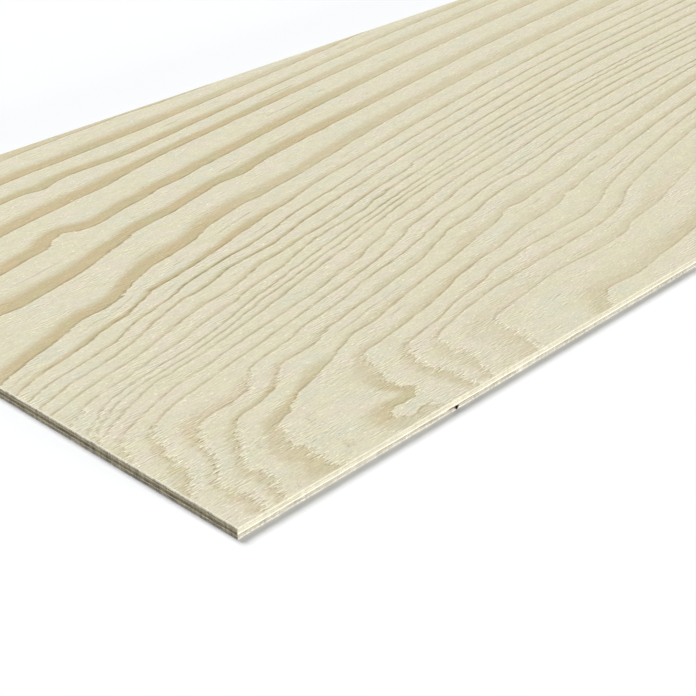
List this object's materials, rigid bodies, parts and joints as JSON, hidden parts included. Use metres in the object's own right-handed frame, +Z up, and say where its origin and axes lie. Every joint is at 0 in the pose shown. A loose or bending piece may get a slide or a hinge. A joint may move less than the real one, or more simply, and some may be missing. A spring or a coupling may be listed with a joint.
{
  "type": "plywood sheet",
  "caption": "Flat rectangular sheet of crossed and glued softwood veneers, with sawn edges that show the plies and a small core gap.",
  "frame": {"origin": "middle of the underside of the sheet, on the surface that it lies on", "axes": "+X along the length of the sheet and the grain of the face, +Y across the face, +Z up through the plies, so the face looks up"},
  "size_m": [1.22, 0.61, 0.009],
  "materials": {
    "face_veneer": "fine-sanded pale softwood veneer, bare",
    "upper_crossband": "sawn edge of softwood veneer, bare",
    "core_veneer": "sawn edge of softwood veneer, bare",
    "lower_crossband": "sawn edge of softwood veneer, bare",
    "back_veneer": "sanded softwood veneer, bare"
  },
  "bodies": {
    "root": {"back_veneer": "back_veneer", "lower_crossband_left": "lower_crossband", "lower_crossband_right": "lower_crossband", "core_veneer": "core_veneer", "upper_crossband": "upper_crossband", "face_veneer": "face_veneer"}
  },
  "joints": []
}
